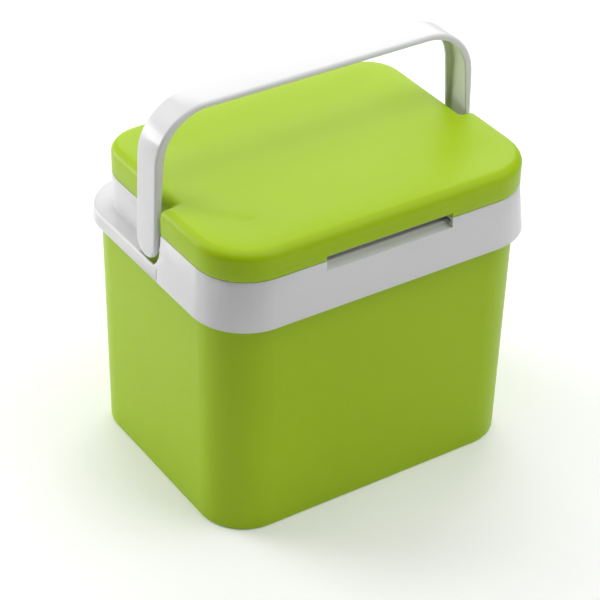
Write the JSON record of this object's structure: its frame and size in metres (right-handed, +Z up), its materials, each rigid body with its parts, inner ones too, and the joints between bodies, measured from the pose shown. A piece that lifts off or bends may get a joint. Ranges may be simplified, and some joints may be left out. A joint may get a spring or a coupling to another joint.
{
  "type": "insulated cool box",
  "caption": "Small rigid insulated cool box: drafted tub, wide collar with a finger recess, lift-off lid and a swinging strap handle that folds back onto a ledge.",
  "frame": {"origin": "middle of the tub's base, on the surface that the box stands on", "axes": "+Z up; +X along the front, to the right as seen from the front; the front with the finger recess faces -Y and the handle folds back towards +Y"},
  "size_m": [0.3074, 0.2406, 0.3495],
  "materials": {
    "green_plastic": "satin lime-green polypropylene with a fine moulded grain",
    "white_plastic": "smooth semi-gloss white polypropylene",
    "white_liner_plastic": "satin white food-safe polypropylene",
    "foam": "matt beaded expanded polystyrene foam"
  },
  "bodies": {
    "base": {"outer_tub": "green_plastic", "tub_insulation": "foam", "inner_liner": "white_liner_plastic", "rim_collar": "white_plastic"},
    "lid": {"lid_cover": "green_plastic", "lid_insulation": "foam", "lid_inner_panel": "white_liner_plastic"},
    "handle": {"handle": "white_plastic"}
  },
  "joints": [
    {"name": "handle_pivot", "type": "hinge", "parent": "base", "child": "handle", "pos_m": [0, 0, 0.233], "axis": [-1, 0, 0], "range_deg": [0, 90]},
    {"name": "lid_lift", "type": "slide", "parent": "base", "child": "lid", "axis": [0, 0, 1], "range_m": [0, 0.04]}
  ]
}
